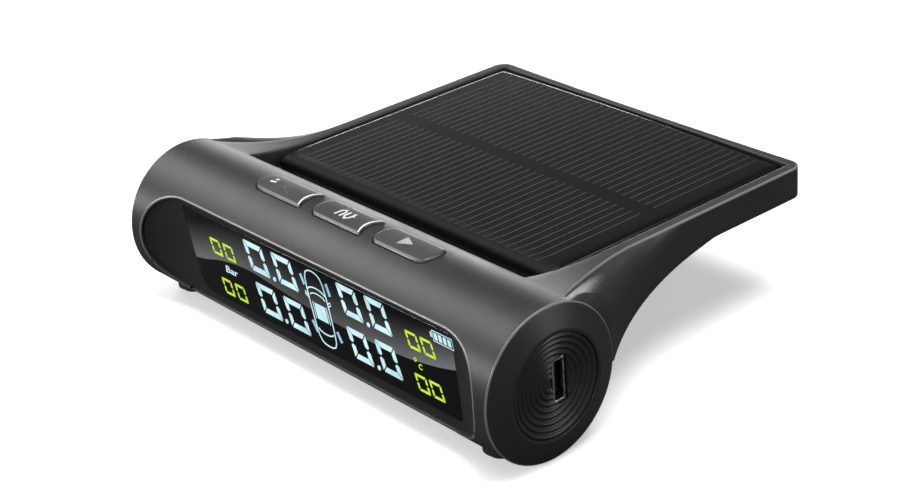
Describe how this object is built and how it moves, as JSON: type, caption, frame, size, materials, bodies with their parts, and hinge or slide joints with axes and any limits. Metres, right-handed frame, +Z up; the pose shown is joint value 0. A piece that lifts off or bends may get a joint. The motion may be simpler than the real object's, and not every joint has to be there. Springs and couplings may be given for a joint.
{
  "type": "tire pressure monitor",
  "caption": "Dashboard tire pressure display in a round barrel, with press keys, round end caps, a charging socket and a flat solar panel wing behind it.",
  "frame": {"origin": "middle of the barrel's length, on the underside of the grip pad, straight below the barrel's axis", "axes": "+X along the barrel towards the end cap with the charging socket, -Y the way the display faces, +Y towards the solar wing's rear edge, +Z up"},
  "size_m": [0.0964, 0.081, 0.0264],
  "materials": {
    "body_plastic": "fine satin texture",
    "dark_plastic": "satin",
    "pad_rubber": "matt, tacky",
    "window_plastic": "polished, tinted",
    "display_glass": "glossy",
    "light_plastic": "clear to milky",
    "white_plastic": "satin",
    "steel": "bright plated",
    "lamp": "yellow phosphor",
    "board": "green solder mask",
    "chip": "moulded epoxy",
    "copper": "enamelled copper wire",
    "gold": "gold flash",
    "cell_wrap": "shrink sleeve",
    "connector": "natural nylon",
    "lead_pvc": "PVC sleeve, one red and one black",
    "key_plastic": "polished, smoked",
    "plunger_plastic": "natural",
    "solar_backing": "black solder mask",
    "solar_silicon": "coated silicon with printed fingers",
    "solar_resin": "clear domed resin over black"
  },
  "bodies": {
    "housing": {"upper_housing": "body_plastic", "wing_cover": "body_plastic", "base_cover": "body_plastic", "grip_pad": "pad_rubber", "front_bezel": "dark_plastic", "display_window": "window_plastic", "display_panel": "display_glass", "light_guide": "light_plastic", "display_holder": "white_plastic", "display_pins": "steel", "backlight_lamps": "lamp", "main_board": "board", "controller_chip": "chip", "receiver_chip": "chip", "charger_chip": "chip", "timing_crystal": "steel", "antenna_coil": "copper", "buzzer": "chip", "motion_sensor": "gold", "usb_socket": "steel", "usb_tongue": "chip", "battery_cell": "cell_wrap", "battery_tabs": "steel", "battery_plug": "connector", "battery_leads": "lead_pvc", "key_board": "board", "board_link": "gold", "switch_back": "chip", "switch_set": "chip", "switch_next": "chip", "solar_board": "solar_backing", "solar_cell_front": "solar_silicon", "solar_cell_rear": "solar_silicon", "solar_cover": "solar_resin", "solar_leads": "lead_pvc", "left_end_cap": "body_plastic", "right_end_cap": "body_plastic", "base_screw_set": "steel", "wing_screw_set": "steel", "board_screw_set": "steel"},
    "key_back": {"key_back": "key_plastic", "plunger_back": "plunger_plastic"},
    "key_set": {"key_set": "key_plastic", "plunger_set": "plunger_plastic"},
    "key_next": {"key_next": "key_plastic", "plunger_next": "plunger_plastic"}
  },
  "joints": [
    {"name": "key_back_press", "type": "slide", "parent": "housing", "child": "key_back", "axis": [0, 0, -1], "range_m": [0, 0.0004], "stiffness_N_per_m": 4000},
    {"name": "key_set_press", "type": "slide", "parent": "housing", "child": "key_set", "axis": [0, 0, -1], "range_m": [0, 0.0004], "stiffness_N_per_m": 4000},
    {"name": "key_next_press", "type": "slide", "parent": "housing", "child": "key_next", "axis": [0, 0, -1], "range_m": [0, 0.0004], "stiffness_N_per_m": 4000}
  ]
}
